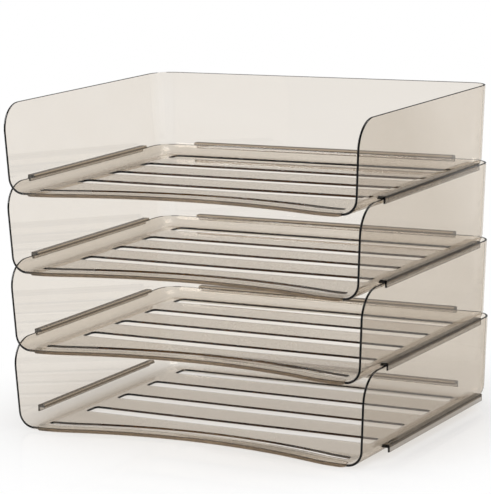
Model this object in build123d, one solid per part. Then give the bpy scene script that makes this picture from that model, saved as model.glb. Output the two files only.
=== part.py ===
from build123d import *
import os
from math import radians, tan

# Four landscape letter trays of clear smoked plastic, stacked on each other's rims.
# Each tray is one moulding: a slotted floor, two side walls and a back wall, open at the front.
# X runs from left to right, Y from the open front to the back, and Z up.

# Driving dimensions in millimetres, angles in degrees
TRAY_NAMES = ("bottom_tray", "second_tray", "third_tray", "top_tray")

RIM_WIDTH = 341.0  # outside, left to right
RIM_DEPTH = 260.0  # outside, open front to back
TRAY_HEIGHT = 78.0  # feet to rim
WALL = 2.0
FLOOR = 2.0
DRAFT_ANGLE = 3.45  # lean of the walls, wider at the rim
BACK_CORNER_RADIUS = 20.0  # outside, in plan at the rim
FLOOR_EDGE_RADIUS = 14.5  # outside, where the walls run into the floor
FRONT_CORNER_RADIUS = 24.0  # upper front corners of the side walls
EDGE_ROUNDING = 0.6  # on the rim, the front edges, the slots and the feet

FOOT_HEIGHT = 1.2  # of the thickened front edge and of the back ridge that the tray stands on
FRONT_FOOT_WIDTH = 11.0
BACK_FOOT_WIDTH = 2.4
BACK_FOOT_SETBACK = 0.8  # back of the flat floor to the back ridge
FOOT_END_MARGIN = 2.5  # side of the flat floor to the end of a foot

SEAT_HEIGHT = 9.5  # feet to the underside of the rail ledge
LEDGE_THICKNESS = 2.8
LIP_THICKNESS = 1.8
LIP_DROP = 3.6  # how far the lip reaches down outside the rim below
RIM_CLEARANCE = 0.6  # between the lip and the rim below
SIDE_RAIL_FRONT = 37.5  # open front to the front end of a side rail
SIDE_RAIL_REAR = 36.0  # back of the rim to the rear end of a side rail
BACK_RAIL_END = 39.0  # side of the rim to the end of the back rail

SCOOP_DEPTH = 21.0  # how far the front edge of the floor is set back at its middle
SCOOP_END_RADIUS = 120.0  # where the scoop runs out towards the side walls
SCOOP_MARGIN = 2.0  # edge of the flat floor to the end of the scoop

SLOT_WIDTH = 18.0
SLOT_PITCH = 51.5
SLOT_CORNER_RADIUS = 3.0
SLOT_END_MARGIN = 12.5  # side of the flat floor to the end of a slot
REAR_SLOT_MARGIN = 1.0  # back ridge to the last slot
FRONT_SLOT_MARGIN = 4.0  # front foot to the front slot, which bows as the front edge does
FRONT_SLOT_WIDTH = 7.0
FRONT_SLOT_END_MARGIN = 6.5  # side of the flat floor to the end of the front slot
LEAST_BRIDGE = 12.0  # least floor left behind the front slot

# Sizes that follow from them
lean = tan(radians(DRAFT_ANGLE))
floor_top = FOOT_HEIGHT + FLOOR
tier_pitch = TRAY_HEIGHT - SEAT_HEIGHT
wall_height = TRAY_HEIGHT - FOOT_HEIGHT
lip_outside = RIM_CLEARANCE + LIP_THICKNESS
overall_depth = RIM_DEPTH + lip_outside
corner_radius_at_floor = BACK_CORNER_RADIUS - wall_height * lean
floor_edge_radius = min(FLOOR_EDGE_RADIUS, 0.95 * corner_radius_at_floor)
flat_inset = wall_height * lean + floor_edge_radius * tan(radians(45 - DRAFT_ANGLE / 2))
flat_half_width = RIM_WIDTH / 2 - flat_inset
flat_depth = RIM_DEPTH - flat_inset
scoop_half_width = flat_half_width - SCOOP_MARGIN
overrun = 2 * (BACK_CORNER_RADIUS + FLOOR_EDGE_RADIUS)
foot_length = 2 * (flat_half_width - FOOT_END_MARGIN)
back_foot_y = flat_depth - BACK_FOOT_SETBACK - BACK_FOOT_WIDTH / 2
rear_slot_y = back_foot_y - BACK_FOOT_WIDTH / 2 - REAR_SLOT_MARGIN - SLOT_WIDTH / 2
front_slot_front = FRONT_FOOT_WIDTH + FRONT_SLOT_MARGIN
front_slot_back = front_slot_front + FRONT_SLOT_WIDTH
first_slot_limit = front_slot_back + SCOOP_DEPTH + LEAST_BRIDGE + SLOT_WIDTH / 2
slot_count = 1 + int((rear_slot_y - first_slot_limit) // SLOT_PITCH)


def tub(inset, bottom):
    """Drafted block set in from the outside of the walls, running past the open front."""
    width = RIM_WIDTH - 2 * inset
    depth = RIM_DEPTH - inset + overrun
    outline = RectangleRounded(width, depth, BACK_CORNER_RADIUS - inset)
    rim = Pos(0, RIM_DEPTH - inset - depth / 2, TRAY_HEIGHT) * outline
    block = extrude(rim, amount=bottom - TRAY_HEIGHT)
    walls = block.faces().filter_by(Plane.XY, reverse=True)
    body = draft(walls, Plane.XY.offset(TRAY_HEIGHT), -DRAFT_ANGLE)
    floor_face = body.faces().sort_by(Axis.Z)[0]
    return fillet(floor_face.edges(), floor_edge_radius - inset)


def front_region(setback):
    """Plan region in front of a bowed line that lies behind the front edge by setback."""
    centre_gap = (scoop_half_width**2 + SCOOP_DEPTH**2) / (2 * SCOOP_DEPTH)
    bow_radius = centre_gap - SCOOP_END_RADIUS
    share = (bow_radius + setback) / centre_gap
    join_x = scoop_half_width * share
    join_y = SCOOP_DEPTH - bow_radius + (centre_gap - SCOOP_DEPTH) * share
    left_end = TangentArc((-scoop_half_width, setback), (-join_x, join_y), tangent=(1, 0))
    scoop = ThreePointArc((-join_x, join_y), (0, SCOOP_DEPTH + setback), (join_x, join_y))
    right_end = TangentArc((scoop_half_width, setback), (join_x, join_y), tangent=(-1, 0))
    border = Polyline(
        (scoop_half_width, setback),
        (RIM_WIDTH, setback),
        (RIM_WIDTH, -2 * overrun),
        (-RIM_WIDTH, -2 * overrun),
        (-RIM_WIDTH, setback),
        (-scoop_half_width, setback),
    )
    return make_face([left_end, scoop, right_end, *border.edges()])


def open_front():
    """Cutter that opens the front and scoops the front edge of the floor."""
    return extrude(front_region(0), amount=2 * TRAY_HEIGHT)


def curved_band(setback, width, length, end_radius):
    """Plan band that follows the front edge behind it, with rounded ends."""
    band = front_region(setback + width) - front_region(setback)
    band = band & Rectangle(length, RIM_DEPTH)
    ends = band.vertices().sort_by(Axis.X)
    return fillet(ends[:2] + ends[-2:], end_radius)


def slots():
    """Cutters for the straight slots and for the curved slot behind the front edge."""
    length = 2 * (flat_half_width - SLOT_END_MARGIN)
    straight = RectangleRounded(length, SLOT_WIDTH, SLOT_CORNER_RADIUS)
    regions = [Pos(0, rear_slot_y - i * SLOT_PITCH) * straight for i in range(slot_count)]
    front_length = 2 * (flat_half_width - FRONT_SLOT_END_MARGIN)
    front_radius = min(SLOT_CORNER_RADIUS, 0.45 * FRONT_SLOT_WIDTH)
    front_slot = curved_band(front_slot_front, FRONT_SLOT_WIDTH, front_length, front_radius)
    regions.append(front_slot)
    return [extrude(region, amount=2 * floor_top) for region in regions]


def border_edges(faces):
    """Edges around a band of faces, without the edges that two of its faces share."""
    edges = [edge for face in faces for edge in face.edges()]
    return [edge for edge in edges if sum(edge.is_same(other) for other in edges) == 1]


def shell():
    """Walls and slotted floor, with every open edge rounded."""
    body = tub(0, FOOT_HEIGHT) - tub(WALL, floor_top) - open_front()
    front_edges = body.edges().filter_by(Axis.X).group_by(Axis.Y)[0]
    body = fillet(front_edges.group_by(Axis.Z)[-1], FRONT_CORNER_RADIUS)
    rim = body.faces().sort_by(Axis.Z)[-1]
    front_limit = 2 * max(SCOOP_DEPTH, FRONT_CORNER_RADIUS)
    front = [face for face in body.faces() if face.bounding_box().max.Y < front_limit]
    body = fillet(border_edges([rim, *front]), EDGE_ROUNDING)
    body = body - slots()
    level = body.faces().filter_by(Plane.XY).filter_by_position(Axis.Z, 0, 2 * floor_top)
    slot_edges = [edge for face in level for wire in face.inner_wires() for edge in wire.edges()]
    return fillet(slot_edges, EDGE_ROUNDING)


def rail(length):
    """Ledge with a hanging lip, along Y, with the outside of the rim below at X = 0."""
    low_inside = (Align.MIN, Align.CENTER, Align.MIN)
    ledge = Box(flat_inset + lip_outside, length, LEDGE_THICKNESS, align=low_inside)
    lip = Box(LIP_THICKNESS, length, LIP_DROP + LEDGE_THICKNESS, align=low_inside)
    bar = Pos(-flat_inset, 0, LIP_DROP) * ledge + Pos(RIM_CLEARANCE, 0, 0) * lip
    outer_face = bar.faces().sort_by(Axis.X)[-1]
    bar = fillet(outer_face.edges().filter_by(Axis.Y), EDGE_ROUNDING)
    return Pos(0, 0, SEAT_HEIGHT - LIP_DROP) * bar


def rails():
    """Rails outside both side walls and the back wall, each rooted in the middle of its wall."""
    side_length = RIM_DEPTH - SIDE_RAIL_REAR - SIDE_RAIL_FRONT
    right = Pos(RIM_WIDTH / 2, SIDE_RAIL_FRONT + side_length / 2) * rail(side_length)
    left = right.mirror(Plane.YZ)
    back = Pos(0, RIM_DEPTH) * Rot(0, 0, 90) * rail(RIM_WIDTH - 2 * BACK_RAIL_END)
    root = tub(WALL / 2, FOOT_HEIGHT + FLOOR / 2)
    return [bar - root for bar in (right, left, back)]


def feet():
    """Thickened front edge and a ridge along the back, both rooted in the middle of the floor."""
    front = curved_band(0, FRONT_FOOT_WIDTH, foot_length, 0.45 * FRONT_FOOT_WIDTH)
    ridge = RectangleRounded(foot_length, BACK_FOOT_WIDTH, 0.45 * BACK_FOOT_WIDTH)
    back = Pos(0, back_foot_y) * ridge
    bars = [extrude(region, amount=FOOT_HEIGHT + FLOOR / 2) for region in (front, back)]
    return [fillet(bar.edges().group_by(Axis.Z)[0], EDGE_ROUNDING) for bar in bars]


moulding = shell() + [*rails(), *feet()]
os.makedirs("parts", exist_ok=True)
for tier, name in enumerate(TRAY_NAMES):
    tray = Pos(0, -overall_depth / 2, tier * tier_pitch) * moulding
    export_step(tray, f"parts/{name}.step")
    print(name, "solids", len(tray.solids()), "volume", round(tray.volume))
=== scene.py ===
# %% [markdown]
# # Four smoked letter trays, one on top of the other
# Each tray is a single moulding of clear plastic with a brown-grey tint, and the stack is
# four of them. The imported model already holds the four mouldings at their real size, so this
# lesson is about light and plastic: the shapes stay as they are, and the work goes into a
# material that lets the light through the way a thin tinted wall does.

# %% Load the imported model
import math

import bpy
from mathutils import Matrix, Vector

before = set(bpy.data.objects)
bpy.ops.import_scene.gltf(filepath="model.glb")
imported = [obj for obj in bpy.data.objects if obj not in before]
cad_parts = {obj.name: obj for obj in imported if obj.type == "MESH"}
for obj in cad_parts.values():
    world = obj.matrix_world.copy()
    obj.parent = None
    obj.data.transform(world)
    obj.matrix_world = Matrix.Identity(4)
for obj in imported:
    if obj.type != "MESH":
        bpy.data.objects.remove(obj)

scene = bpy.context.scene
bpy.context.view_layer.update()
print("trays:", sorted(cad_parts))

# %% [markdown]
# ## The camera
# The picture was taken from the right of the open front, a little above the top rim, with a
# long lens from about two metres away. A camera could be placed by eye, but edges that are
# known in the model and seen in the picture give its place exactly, and those numbers are
# used here. The lens length counts on the longer side of the frame, which is the height.

# %% Camera
LENS = 176.11
CAMERA_PLACE = (1.0121, -1.8107, 0.5323)
CAMERA_ANGLES = (79.526, 1.578, 29.145)

camera_data = bpy.data.cameras.new("studio_camera")
camera_data.lens = LENS
camera = bpy.data.objects.new("studio_camera", camera_data)
camera.location = CAMERA_PLACE
camera.rotation_euler = [math.radians(angle) for angle in CAMERA_ANGLES]
scene.collection.objects.link(camera)
scene.camera = camera
scene.view_settings.view_transform = "Standard"
print("camera", round(camera.location.length, 2), "m from the middle of the table")

# %% [markdown]
# ## Helpers for node trees
# The room, the table and the plastic are all node trees, and most of their nodes are sums and
# ramps. Written out one by one they would hide what a tree does. Four small functions add a
# node, fill an input, and join or ramp values, and each node is named by what it is there for.


# %% Add a node, or fill an input
def add_node(tree, kind, label, **inputs):
    """A node of that kind in the tree, named by what it does, with its inputs set."""
    node = tree.nodes.new(kind)
    node.name = node.label = label
    for name, value in inputs.items():
        node.inputs[name.replace("_", " ")].default_value = value
    return node


def fill(tree, socket, value):
    """Sets an input to a number, or links it to another node's output."""
    if isinstance(value, float):
        socket.default_value = value
    else:
        tree.links.new(value, socket)


# %% Join or ramp values
NO_TO_YES = (0.0, 1.0)


def join(tree, operation, label, first, second=0.0):
    """Output with the sum, product or comparison of two outputs or numbers."""
    node = add_node(tree, "ShaderNodeMath", label)
    node.operation = operation
    fill(tree, node.inputs[0], first)
    fill(tree, node.inputs[1], second)
    return node.outputs[0]


def ramp(tree, label, value, span, ends=NO_TO_YES):
    """Output that goes from the first end to the second while the value crosses the span."""
    node = add_node(tree, "ShaderNodeMapRange", label)
    tree.links.new(value, node.inputs["Value"])
    for name, number in zip(("From Min", "From Max", "To Min", "To Max"), (*span, *ends)):
        fill(tree, node.inputs[name], number)
    return node.outputs["Result"]


# %% [markdown]
# ## The room
# Clear plastic has hardly a colour of its own: it shows the room behind it, weaker and
# browner, and the room in front of it as a reflection. So the room comes before the plastic.
# A world that is white where it is seen, straight or through the walls, gives the plain
# background. It gets darker overhead, as a studio does above its white walls, and what the
# rims mirror is the dim room, which draws a thin dark line along each of them. A dimmer world
# also lights the table, so that the lamps still model the form.


# %% What the viewer sees
def seen_rays(tree):
    """Output that is 1 for rays that are seen straight, mirrored or through plastic."""
    kind = add_node(tree, "ShaderNodeLightPath", "kind of ray").outputs
    seen = join(tree, "MAXIMUM", "seen or mirrored", kind["Is Camera Ray"], kind["Is Glossy Ray"])
    return join(tree, "MAXIMUM", "or seen through plastic", seen, kind["Is Transmission Ray"])


# %% World
WHITE = (1.0, 1.0, 1.0, 1.0)
WALL_STRENGTH = 1.0
CEILING_STRENGTH = 0.3
WALLS_TO_CEILING = (0.0, 0.45)
MIRRORED_STRENGTH = 0.3
LIGHTING_STRENGTH = 0.62

world = bpy.data.worlds.new("white_studio")
scene.world = world
world.use_nodes = True
tree = world.node_tree
tree.nodes.clear()
direction = add_node(tree, "ShaderNodeTexCoord", "direction")
upward = add_node(tree, "ShaderNodeSeparateXYZ", "how far up")
tree.links.new(direction.outputs["Generated"], upward.inputs["Vector"])
fall = (WALL_STRENGTH, CEILING_STRENGTH)
room = ramp(tree, "walls to ceiling", upward.outputs["Z"], WALLS_TO_CEILING, fall)
rays = add_node(tree, "ShaderNodeLightPath", "straight and mirrored rays").outputs
dim = (room, MIRRORED_STRENGTH)
room = ramp(tree, "dim room in mirrors", rays["Is Reflection Ray"], NO_TO_YES, dim)
plain = (room, WALL_STRENGTH)
room = ramp(tree, "white where seen straight", rays["Is Camera Ray"], NO_TO_YES, plain)
strength = ramp(tree, "strength", seen_rays(tree), NO_TO_YES, (LIGHTING_STRENGTH, room))
background = add_node(tree, "ShaderNodeBackground", "white", Color=WHITE)
world_out = add_node(tree, "ShaderNodeOutputWorld", "world")
tree.links.new(strength, background.inputs["Strength"])
tree.links.new(background.outputs[0], world_out.inputs["Surface"])
print("world: seen at", fall, "from wall to ceiling, and lighting at", LIGHTING_STRENGTH)

# %% [markdown]
# ## The lamps
# Two large softboxes do the rest. Small lamps would leave hard glints all over clear plastic,
# so both are more than a metre wide. One stands high on the left and in front, and gives the
# pale upright gleam in the rounded back corners. The other hangs over the back of the table
# and lights the rims and the floors of the trays from above.

# %% Softboxes
AIM = (0.0, 0.0, 0.12)


def softbox(name, place, width, watts):
    """A square area lamp, its width in metres, turned towards the stack."""
    data = bpy.data.lights.new(name, "AREA")
    data.shape = "RECTANGLE"
    data.size = data.size_y = width
    data.energy = watts
    lamp = bpy.data.objects.new(name, data)
    lamp.location = place
    away = lamp.location - Vector(AIM)
    lamp.rotation_euler = away.to_track_quat("Z", "Y").to_euler()
    scene.collection.objects.link(lamp)
    print(name, width, "m wide,", watts, "W,", round(away.length, 2), "m away")


softbox("left_softbox", place=(-1.5, -1.1, 1.5), width=1.2, watts=20.0)
softbox("overhead_softbox", place=(0.3, 0.5, 2.1), width=1.6, watts=24.0)

# %% [markdown]
# ## The table
# The stack stands on a white table with a soft gloss, which gives a faint, blurred
# reflection under the front edge. A large disc just below the feet is enough. Lamps never
# light a table evenly, so away from the stack it turns into the plain white of the
# background, and close to the stack it keeps the shadow. On the right the table is grey in
# mirrored light, as from a grey card beside the picture. That keeps a white veil off the
# right-hand walls and rails, which are deeper in colour than the left-hand ones.

# %% Table
TABLE_RADIUS = 9.0
TABLE_DROP = 0.0002
TABLE_SIDES = 128

points = []
for side in range(TABLE_SIDES):
    turn = 2 * math.pi * side / TABLE_SIDES
    points.append((TABLE_RADIUS * math.cos(turn), TABLE_RADIUS * math.sin(turn), -TABLE_DROP))
table_mesh = bpy.data.meshes.new("table")
table_mesh.from_pydata(points, [], [range(TABLE_SIDES)])
table = bpy.data.objects.new("table", table_mesh)
scene.collection.objects.link(table)
print("table", 2 * TABLE_RADIUS, "m across")

# %% White table with the stack's shadow
TABLE_COLOUR = (0.93, 0.93, 0.93, 1.0)
TABLE_ROUGHNESS = 0.05
TABLE_IOR = 1.5
SHADOW_REACH = (0.15, 0.32)
WHITE_NEAR_STACK = 0.4

white_table = bpy.data.materials.new("white_table")
white_table.use_nodes = True
tree = white_table.node_tree
table_skin = tree.nodes["Principled BSDF"]
table_skin.inputs["Base Color"].default_value = TABLE_COLOUR
table_skin.inputs["Roughness"].default_value = TABLE_ROUGHNESS
table_skin.inputs["IOR"].default_value = TABLE_IOR
spot = add_node(tree, "ShaderNodeNewGeometry", "place on the table").outputs["Position"]
distance = add_node(tree, "ShaderNodeVectorMath", "distance from the middle")
distance.operation = "LENGTH"
tree.links.new(spot, distance.inputs[0])
whiter = (WHITE_NEAR_STACK, 1.0)
fade = ramp(tree, "shadow to plain white", distance.outputs["Value"], SHADOW_REACH, whiter)
fade.node.interpolation_type = "SMOOTHSTEP"
fade = join(tree, "MULTIPLY", "only where it is seen", fade, seen_rays(tree))
print("the shadow fades out between", SHADOW_REACH, "m from the middle")

# %% Plain white and the grey card
GREY_CARD = 0.35
GREY_CARD_SLANT = (1.0, -0.56, 0.0)
GREY_CARD_REACH = (-0.02, 0.06)

rightward = add_node(tree, "ShaderNodeVectorMath", "how far to the right, on a slant")
rightward.operation = "DOT_PRODUCT"
rightward.inputs[1].default_value = GREY_CARD_SLANT
tree.links.new(spot, rightward.inputs[0])
card = ramp(tree, "grey card on the right", rightward.outputs["Value"], GREY_CARD_REACH)
mirrored = add_node(tree, "ShaderNodeLightPath", "mirrored rays").outputs["Is Reflection Ray"]
card = join(tree, "MULTIPLY", "only where it is mirrored", card, mirrored)
level = ramp(tree, "white or grey", card, NO_TO_YES, (1.0, GREY_CARD))
plain_white = add_node(tree, "ShaderNodeEmission", "plain white", Color=WHITE)
mixed = add_node(tree, "ShaderNodeMixShader", "table or plain white")
tree.links.new(level, plain_white.inputs["Strength"])
tree.links.new(fade, mixed.inputs["Fac"])
tree.links.new(table_skin.outputs[0], mixed.inputs[1])
tree.links.new(plain_white.outputs[0], mixed.inputs[2])
tree.links.new(mixed.outputs[0], tree.nodes["Material Output"].inputs["Surface"])
table_mesh.materials.append(white_table)
print("white table has", len(tree.nodes), "nodes")

# %% [markdown]
# ## What the plastic's skin does
# A moulded clear plastic isn't perfectly even. The melt leaves slow ripples and faint
# streaks where it flowed, and sheets of paper leave hair-fine rub marks on the floor of a
# tray. Both are small, but they keep reflections from looking like a computer's. They are
# written as node groups, with values that vary over the surface and named sockets.


# %% An empty group
def new_group(name, inputs, outputs):
    """An empty node group with float inputs, given with their defaults, and float outputs."""
    group = bpy.data.node_groups.new(name, "ShaderNodeTree")
    for socket, value in inputs.items():
        made = group.interface.new_socket(socket, in_out="INPUT", socket_type="NodeSocketFloat")
        made.default_value = value
    for socket in outputs:
        group.interface.new_socket(socket, in_out="OUTPUT", socket_type="NodeSocketFloat")
    group.nodes.new("NodeGroupInput").name = "in"
    group.nodes.new("NodeGroupOutput").name = "out"
    return group


# %% Group: flow of the melt
ACROSS_THE_TRAY = (0.25, 1.0, 1.4)

flow_inputs = {"Ripple Scale": 8.0, "Streak Scale": 22.0}
flow = new_group("moulding_flow", flow_inputs, ["Ripple", "Streak"])
given, made = flow.nodes["in"].outputs, flow.nodes["out"].inputs
place = add_node(flow, "ShaderNodeTexCoord", "place on the tray").outputs["Object"]
ripple = add_node(flow, "ShaderNodeTexNoise", "slow ripples", Detail=1.0, Roughness=0.4)
along = add_node(flow, "ShaderNodeMapping", "drawn out across the tray", Scale=ACROSS_THE_TRAY)
streak = add_node(flow, "ShaderNodeTexNoise", "faint streaks", Detail=3.0, Roughness=0.55)
flow.links.new(place, ripple.inputs["Vector"])
flow.links.new(place, along.inputs["Vector"])
flow.links.new(along.outputs["Vector"], streak.inputs["Vector"])
flow.links.new(given["Ripple Scale"], ripple.inputs["Scale"])
flow.links.new(given["Streak Scale"], streak.inputs["Scale"])
flow.links.new(ripple.outputs["Fac"], made["Ripple"])
flow.links.new(streak.outputs["Fac"], made["Streak"])
print("group", flow.name, "has", len(flow.nodes), "nodes")

# %% Group: rub marks of paper
FRONT_TO_BACK = (1.0, 0.02, 0.3)
THINNEST_LINES = (0.64, 0.74)
LEVEL_FLOOR = (0.9, 0.98)
PATCH_SCALE = 18.0
PATCH_EDGE = (0.45, 0.65)

rub = new_group("paper_rub", {"Line Scale": 900.0, "Amount": 0.15}, ["Rub"])
given, made = rub.nodes["in"].outputs, rub.nodes["out"].inputs
place = add_node(rub, "ShaderNodeTexCoord", "place on the tray").outputs["Object"]
drawn = add_node(rub, "ShaderNodeMapping", "drawn out front to back", Scale=FRONT_TO_BACK)
lines = add_node(rub, "ShaderNodeTexNoise", "hair lines", Detail=2.0)
patches = add_node(rub, "ShaderNodeTexNoise", "in patches", Scale=PATCH_SCALE, Detail=1.0)
facing = add_node(rub, "ShaderNodeNewGeometry", "facing")
faces = add_node(rub, "ShaderNodeSeparateXYZ", "how far up it faces")
rub.links.new(place, drawn.inputs["Vector"])
rub.links.new(drawn.outputs["Vector"], lines.inputs["Vector"])
rub.links.new(given["Line Scale"], lines.inputs["Scale"])
rub.links.new(place, patches.inputs["Vector"])
rub.links.new(facing.outputs["Normal"], faces.inputs["Vector"])
marks = ramp(rub, "only the thinnest", lines.outputs["Fac"], THINNEST_LINES)
level = ramp(rub, "only on the floor", faces.outputs["Z"], LEVEL_FLOOR)
patchy = ramp(rub, "where paper slid", patches.outputs["Fac"], PATCH_EDGE)
marks = join(rub, "MULTIPLY", "lines on the floor", marks, level)
marks = join(rub, "MULTIPLY", "lines in patches", marks, patchy)
marks = join(rub, "MULTIPLY", "amount", marks, given["Amount"])
rub.links.new(marks, made["Rub"])
print("group", rub.name, "has", len(rub.nodes), "nodes")

# %% [markdown]
# ## What its edges do
# Light that enters a rim or a front edge is lost inside the wall, so that each of them
# ends up as a thin dark line. The lips that hang from the rails, with the fine lines of
# their rounded corners in them, look darker and browner than a wall. Here that shade is
# painted into the plastic's colour: a painted near-black shade along the rims and the rounded
# front tops, a faint painted shade on the front face, and a lighter one on the lips. The front
# of the floor is matt, and shows a soft grey-brown band under its dark line. A group finds all
# of these by where they lie on the tray and which way they face, so the painted shade stays in its
# places from every side.

# %% Group: front edges
FACES_UP = (0.1, 0.4)
FACES_FORWARD = (-0.2, -0.4)
FRONT_FACE = (-0.35, -0.8)
FLOOR_HALF_WIDTH = 0.152

places = {"Front": -0.1, "Seat": 0.0095, "Tier Pitch": 0.0685}
# Each shade is painted shade: how far the surface colour is pulled towards near-black there.
shades = {"Face Shade": 0.1, "Line Shade": 0.97, "Rim Shade": 0.98, "Lip Shade": 0.38}
edge = new_group("edges_painted_shade", {**places, **shades}, ["Shade", "Matt"])
given, made = edge.nodes["in"].outputs, edge.nodes["out"].inputs
on_tray = add_node(edge, "ShaderNodeTexCoord", "place on the tray")
lies = add_node(edge, "ShaderNodeSeparateXYZ", "where it lies")
facing = add_node(edge, "ShaderNodeNewGeometry", "facing")
faces = add_node(edge, "ShaderNodeSeparateXYZ", "where it faces")
edge.links.new(on_tray.outputs["Object"], lies.inputs["Vector"])
edge.links.new(facing.outputs["Normal"], faces.inputs["Vector"])
sideways = join(edge, "ABSOLUTE", "to either side", lies.outputs["X"])
up = ramp(edge, "faces up", faces.outputs["Z"], FACES_UP)

at_front = join(edge, "LESS_THAN", "at the front", lies.outputs["Y"], given["Front"])
face = ramp(edge, "front face", faces.outputs["Y"], FRONT_FACE)
on_floor = join(edge, "LESS_THAN", "between the side walls", sideways, FLOOR_HALF_WIDTH)
matt = join(edge, "MULTIPLY", "front of the floor", face, on_floor)
matt = join(edge, "MULTIPLY", "matt only at the front", matt, at_front)
edge.links.new(matt, made["Matt"])
face = join(edge, "MULTIPLY", "shade of the face", face, given["Face Shade"])
line = ramp(edge, "faces forward", faces.outputs["Y"], FACES_FORWARD)
line = join(edge, "MULTIPLY", "rounded top", line, up)
line = join(edge, "MULTIPLY", "shade of the rounded top", line, given["Line Shade"])
front = join(edge, "MAXIMUM", "face or rounded top", face, line)
front = join(edge, "MULTIPLY", "only at the front", front, at_front)
print("group", edge.name, "finds the front edges with", len(edge.nodes), "nodes")

# %% The same group: rims and lips
RIM_HALF_WIDTH = 0.166
RIM_BACK = 0.1243
RIM_BAND = 0.0009
LIP_OFFSET = 0.005

beside = join(edge, "GREATER_THAN", "beyond the side walls", sideways, RIM_HALF_WIDTH)
behind = join(edge, "GREATER_THAN", "beyond the back wall", lies.outputs["Y"], RIM_BACK)
around = join(edge, "MAXIMUM", "side or back", beside, behind)
tiers = join(edge, "SUBTRACT", "height over the seat", lies.outputs["Z"], given["Seat"])
tiers = join(edge, "DIVIDE", "height in tiers", tiers, given["Tier Pitch"])
tiers = join(edge, "ADD", "half a tier on", tiers, 0.5)
tiers = join(edge, "FRACT", "height in its tier", tiers)
gap = join(edge, "SUBTRACT", "from the rim", tiers, 0.5)
gap = join(edge, "ABSOLUTE", "off the rim", gap)
gap = join(edge, "MULTIPLY", "off the rim in metres", gap, given["Tier Pitch"])
# Painted shade on the rims: a thin dark line along the top of each rim.
rim = join(edge, "LESS_THAN", "close to the rim", gap, RIM_BAND)
rim = join(edge, "MULTIPLY", "on the rim", rim, around)
rim = join(edge, "MULTIPLY", "and facing up", rim, up)
rim = join(edge, "MULTIPLY", "shade of the rim", rim, given["Rim Shade"])

# Painted shade on the lips that hang from the rails.
lip_beside = join(edge, "GREATER_THAN", "side lips", sideways, RIM_HALF_WIDTH + LIP_OFFSET)
lip_behind = join(edge, "GREATER_THAN", "back lip", lies.outputs["Y"], RIM_BACK + LIP_OFFSET)
lip = join(edge, "MAXIMUM", "any lip", lip_beside, lip_behind)
lip = join(edge, "MULTIPLY", "shade of the lips", lip, given["Lip Shade"])

# The deepest of the painted shades goes out as Shade.
deepest = join(edge, "MAXIMUM", "rim or lip", rim, lip)
deepest = join(edge, "MAXIMUM", "deepest shade", deepest, front)
edge.links.new(deepest, made["Shade"])
print("group", edge.name, "has", len(edge.nodes), "nodes")

# %% [markdown]
# ## The smoked plastic
# A colour on the surface would tint thin and thick places alike. The tint of this plastic
# sits in its body, so it deepens with the length of the way that light takes through it. A
# wall of two millimetres looks pale, a rail seen along its length looks brown, and an upright
# front edge, where light runs inside the wall, is nearly black. A clear surface around an
# absorbing volume gives that by itself, from every side, and painted shade in the surface
# colour adds the dark lines of the rims and front edges and the darker lips. Lamps and the table's
# soft light pass the surface straight, which keeps the tinted shadow of a thin wall free of noise.

# %% Smoked plastic
TINT = (0.926, 0.904, 0.873, 1.0)
TINT_PER_METRE = 1000.0
PLASTIC_IOR = 1.49
LET_THROUGH = (0.95, 0.95, 0.95, 1.0)

smoked = bpy.data.materials.new("smoked_plastic")
smoked.use_nodes = True
tree = smoked.node_tree
tree.nodes.clear()
skin = add_node(tree, "ShaderNodeBsdfPrincipled", "clear skin", IOR=PLASTIC_IOR, Metallic=0.0)
skin.inputs["Transmission Weight"].default_value = 1.0
body = add_node(tree, "ShaderNodeVolumeAbsorption", "tint in the body", Color=TINT)
body.inputs["Density"].default_value = TINT_PER_METRE
through = add_node(tree, "ShaderNodeBsdfTransparent", "straight way for light", Color=LET_THROUGH)
rays = add_node(tree, "ShaderNodeLightPath", "kind of ray").outputs
soft = (rays["Is Shadow Ray"], rays["Is Diffuse Ray"])
soft_rays = join(tree, "MAXIMUM", "shadow or soft light", *soft)
choice = add_node(tree, "ShaderNodeMixShader", "skin or straight way")
out = add_node(tree, "ShaderNodeOutputMaterial", "smoked plastic")
tree.links.new(soft_rays, choice.inputs["Fac"])
tree.links.new(skin.outputs[0], choice.inputs[1])
tree.links.new(through.outputs[0], choice.inputs[2])
tree.links.new(choice.outputs[0], out.inputs["Surface"])
tree.links.new(body.outputs[0], out.inputs["Volume"])
print("plastic absorbs", [round(TINT_PER_METRE * (1 - c) / 1000, 3) for c in TINT[:3]], "per mm")
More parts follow.
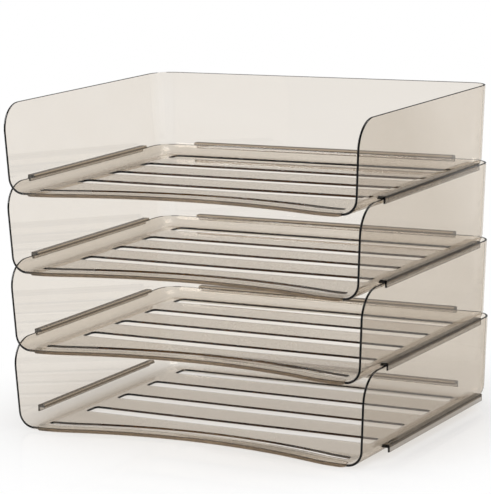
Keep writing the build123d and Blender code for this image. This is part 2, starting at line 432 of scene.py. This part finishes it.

# %% Streaks and painted shade on its edges
STREAK_TONE = (0.97, 0.96, 0.945, 1.0)
# Near-black colour of the painted shade along the rims, front edges and lips.
PAINTED_EDGE_SHADE = (0.01, 0.009, 0.008, 1.0)


def place_group(group, label):
    """The group, placed in the plastic's tree."""
    node = add_node(tree, "ShaderNodeGroup", label)
    node.node_tree = group
    return node.outputs


flow_here, rub_here = place_group(flow, "flow"), place_group(rub, "rub")
edge_here = place_group(edge, "edges")
tone = add_node(tree, "ShaderNodeMix", "streaked tone")
tone.data_type = "RGBA"
tone.inputs["A"].default_value, tone.inputs["B"].default_value = WHITE, STREAK_TONE
# Painted shade: the surface colour is mixed towards near-black where the edge group says.
darker = add_node(tree, "ShaderNodeMix", "painted shade on edges")
darker.data_type = "RGBA"
darker.inputs["B"].default_value = PAINTED_EDGE_SHADE
tree.links.new(flow_here["Streak"], tone.inputs["Factor"])
tree.links.new(edge_here["Shade"], darker.inputs["Factor"])
tree.links.new(tone.outputs["Result"], darker.inputs["A"])
tree.links.new(darker.outputs["Result"], skin.inputs["Base Color"])
print("the plastic's tone goes from", WHITE[:3], "to", PAINTED_EDGE_SHADE[:3], "at its edges")

# %% Gloss, rub marks and ripples on it
GLOSS_TO_RUB = (0.02, 0.22)
MATT_ROUGHNESS = 0.75
RIPPLE_STRENGTH = 0.025
RIPPLE_DEPTH = 0.0005

shine = ramp(tree, "gloss", rub_here["Rub"], NO_TO_YES, GLOSS_TO_RUB)
matt_edge = join(tree, "MULTIPLY", "matt front edge", edge_here["Matt"], MATT_ROUGHNESS)
gloss = join(tree, "MAXIMUM", "gloss or matt edge", shine, matt_edge)
bump = add_node(tree, "ShaderNodeBump", "ripples", Strength=RIPPLE_STRENGTH, Distance=RIPPLE_DEPTH)
tree.links.new(gloss, skin.inputs["Roughness"])
tree.links.new(flow_here["Ripple"], bump.inputs["Height"])
tree.links.new(bump.outputs["Normal"], skin.inputs["Normal"])
print("smoked plastic has", len(tree.nodes), "nodes")

# %% Put it on the trays
for name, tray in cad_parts.items():
    if not tray.material_slots:
        tray.data.materials.append(smoked)
    for slot in tray.material_slots:
        slot.material = smoked
    print(name, len(tray.data.polygons), "faces")
